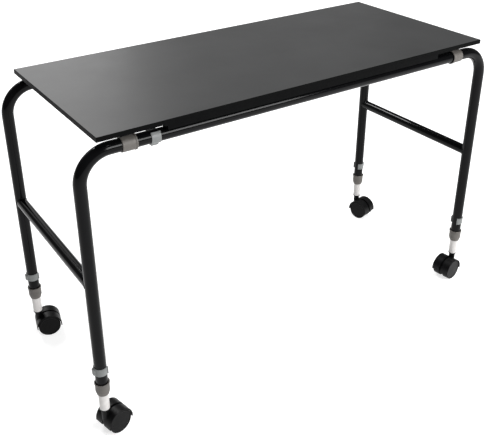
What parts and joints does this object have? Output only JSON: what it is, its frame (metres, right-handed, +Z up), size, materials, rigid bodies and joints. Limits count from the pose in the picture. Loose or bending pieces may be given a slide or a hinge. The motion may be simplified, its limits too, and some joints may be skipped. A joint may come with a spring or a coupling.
{
  "type": "overbed table",
  "caption": "Long overbed table with a black laminate top on an extending tube frame with height-adjustable legs and twin-wheel castors.",
  "frame": {"origin": "floor level under the centre of the table top", "axes": "+X along the table top, +Y to the rear long side, +Z up"},
  "size_m": [1.0232, 0.4191, 0.636],
  "materials": {
    "laminate_black": "smooth satin-gloss laminate",
    "edge_black": "matt edge band",
    "batten_black": "black paint, satin",
    "tube_black": "gloss black powder coat",
    "inner_tube_white": "satin white coat",
    "ferrule_grey": "moulded, satin",
    "clip_grey": "moulded, satin",
    "castor_black": "moulded, fine texture",
    "wheel_black": "moulded, satin",
    "steel": "zinc plated"
  },
  "bodies": {
    "table_top": {"tabletop": "laminate_black", "edge_band": "edge_black", "front_batten": "batten_black", "rear_batten": "batten_black", "centre_rail_front": "tube_black", "centre_rail_rear": "tube_black", "front_rail_tabs": "tube_black", "rear_rail_tabs": "tube_black", "tab_screws": "steel", "rail_ferrule_front_left": "ferrule_grey", "rail_ferrule_rear_left": "ferrule_grey", "rail_ferrule_front_right": "ferrule_grey", "rail_ferrule_rear_right": "ferrule_grey", "rail_clip_front_left": "clip_grey", "rail_clip_rear_left": "clip_grey", "rail_clip_rear_right": "clip_grey"},
    "end_frame_left": {"cross_bar_left": "tube_black", "leg_tube_front_left": "tube_black", "extension_tube_front_left": "inner_tube_white", "leg_ferrule_front_left": "ferrule_grey", "leg_clip_front_left": "clip_grey", "leg_tube_rear_left": "tube_black", "extension_tube_rear_left": "inner_tube_white", "leg_ferrule_rear_left": "ferrule_grey", "leg_clip_rear_left": "clip_grey"},
    "end_frame_right": {"cross_bar_right": "tube_black", "leg_tube_front_right": "tube_black", "extension_tube_front_right": "inner_tube_white", "leg_ferrule_front_right": "ferrule_grey", "leg_clip_front_right": "clip_grey", "leg_tube_rear_right": "tube_black", "extension_tube_rear_right": "inner_tube_white", "leg_ferrule_rear_right": "ferrule_grey", "leg_clip_rear_right": "clip_grey"},
    "inner_leg_front_left_body": {"inner_leg_front_left": "inner_tube_white", "castor_socket_front_left": "castor_black"},
    "castor_front_left": {"castor_hood_front_left": "castor_black", "castor_pins_front_left": "steel"},
    "wheel_a_front_left": {"castor_wheel_a_front_left": "wheel_black"},
    "wheel_b_front_left": {"castor_wheel_b_front_left": "wheel_black"},
    "inner_leg_rear_left_body": {"inner_leg_rear_left": "inner_tube_white", "castor_socket_rear_left": "castor_black"},
    "castor_rear_left": {"castor_hood_rear_left": "castor_black", "castor_pins_rear_left": "steel"},
    "wheel_a_rear_left": {"castor_wheel_a_rear_left": "wheel_black"},
    "wheel_b_rear_left": {"castor_wheel_b_rear_left": "wheel_black"},
    "inner_leg_front_right_body": {"inner_leg_front_right": "inner_tube_white", "castor_socket_front_right": "castor_black"},
    "castor_front_right": {"castor_hood_front_right": "castor_black", "castor_pins_front_right": "steel"},
    "wheel_a_front_right": {"castor_wheel_a_front_right": "wheel_black"},
    "wheel_b_front_right": {"castor_wheel_b_front_right": "wheel_black"},
    "inner_leg_rear_right_body": {"inner_leg_rear_right": "inner_tube_white", "castor_socket_rear_right": "castor_black"},
    "castor_rear_right": {"castor_hood_rear_right": "castor_black", "castor_pins_rear_right": "steel"},
    "wheel_a_rear_right": {"castor_wheel_a_rear_right": "wheel_black"},
    "wheel_b_rear_right": {"castor_wheel_b_rear_right": "wheel_black"}
  },
  "joints": [
    {"name": "end_frame_left_slide", "type": "slide", "parent": "table_top", "child": "end_frame_left", "axis": [-1, 0, 0], "range_m": [0, 0.2]},
    {"name": "end_frame_right_slide", "type": "slide", "parent": "table_top", "child": "end_frame_right", "axis": [1, 0, 0], "range_m": [0, 0.2]},
    {"name": "leg_front_left_slide", "type": "slide", "parent": "end_frame_left", "child": "inner_leg_front_left_body", "axis": [0, 0, -1], "range_m": [0, 0.2]},
    {"name": "castor_front_left_swivel", "type": "hinge", "parent": "inner_leg_front_left_body", "child": "castor_front_left", "pos_m": [-0.487, -0.183, 0.054], "axis": [0, 0, 1], "continuous": true},
    {"name": "wheel_a_front_left_spin", "type": "hinge", "parent": "castor_front_left", "child": "wheel_a_front_left", "pos_m": [-0.46751, -0.1785, 0.025], "axis": [-0.225, 0.9744, 0], "continuous": true},
    {"name": "wheel_b_front_left_spin", "type": "hinge", "parent": "castor_front_left", "child": "wheel_b_front_left", "pos_m": [-0.46751, -0.1785, 0.025], "axis": [-0.225, 0.9744, 0], "continuous": true},
    {"name": "leg_rear_left_slide", "type": "slide", "parent": "end_frame_left", "child": "inner_leg_rear_left_body", "axis": [0, 0, -1], "range_m": [0, 0.2]},
    {"name": "castor_rear_left_swivel", "type": "hinge", "parent": "inner_leg_rear_left_body", "child": "castor_rear_left", "pos_m": [-0.487, 0.183, 0.054], "axis": [0, 0, 1], "continuous": true},
    {"name": "wheel_a_rear_left_spin", "type": "hinge", "parent": "castor_rear_left", "child": "wheel_a_rear_left", "pos_m": [-0.46751, 0.1785, 0.025], "axis": [0.225, 0.9744, 0], "continuous": true},
    {"name": "wheel_b_rear_left_spin", "type": "hinge", "parent": "castor_rear_left", "child": "wheel_b_rear_left", "pos_m": [-0.46751, 0.1785, 0.025], "axis": [0.225, 0.9744, 0], "continuous": true},
    {"name": "leg_front_right_slide", "type": "slide", "parent": "end_frame_right", "child": "inner_leg_front_right_body", "axis": [0, 0, -1], "range_m": [0, 0.2]},
    {"name": "castor_front_right_swivel", "type": "hinge", "parent": "inner_leg_front_right_body", "child": "castor_front_right", "pos_m": [0.487, -0.183, 0.054], "axis": [0, 0, 1], "continuous": true},
    {"name": "wheel_a_front_right_spin", "type": "hinge", "parent": "castor_front_right", "child": "wheel_a_front_right", "pos_m": [0.4672, -0.18578, 0.025], "axis": [0.1392, -0.9903, 0], "continuous": true},
    {"name": "wheel_b_front_right_spin", "type": "hinge", "parent": "castor_front_right", "child": "wheel_b_front_right", "pos_m": [0.4672, -0.18578, 0.025], "axis": [0.1392, -0.9903, 0], "continuous": true},
    {"name": "leg_rear_right_slide", "type": "slide", "parent": "end_frame_right", "child": "inner_leg_rear_right_body", "axis": [0, 0, -1], "range_m": [0, 0.2]},
    {"name": "castor_rear_right_swivel", "type": "hinge", "parent": "inner_leg_rear_right_body", "child": "castor_rear_right", "pos_m": [0.487, 0.183, 0.054], "axis": [0, 0, 1], "continuous": true},
    {"name": "wheel_a_rear_right_spin", "type": "hinge", "parent": "castor_rear_right", "child": "wheel_a_rear_right", "pos_m": [0.4915, 0.16351, 0.025], "axis": [0.9744, 0.225, 0], "continuous": true},
    {"name": "wheel_b_rear_right_spin", "type": "hinge", "parent": "castor_rear_right", "child": "wheel_b_rear_right", "pos_m": [0.4915, 0.16351, 0.025], "axis": [0.9744, 0.225, 0], "continuous": true}
  ]
}
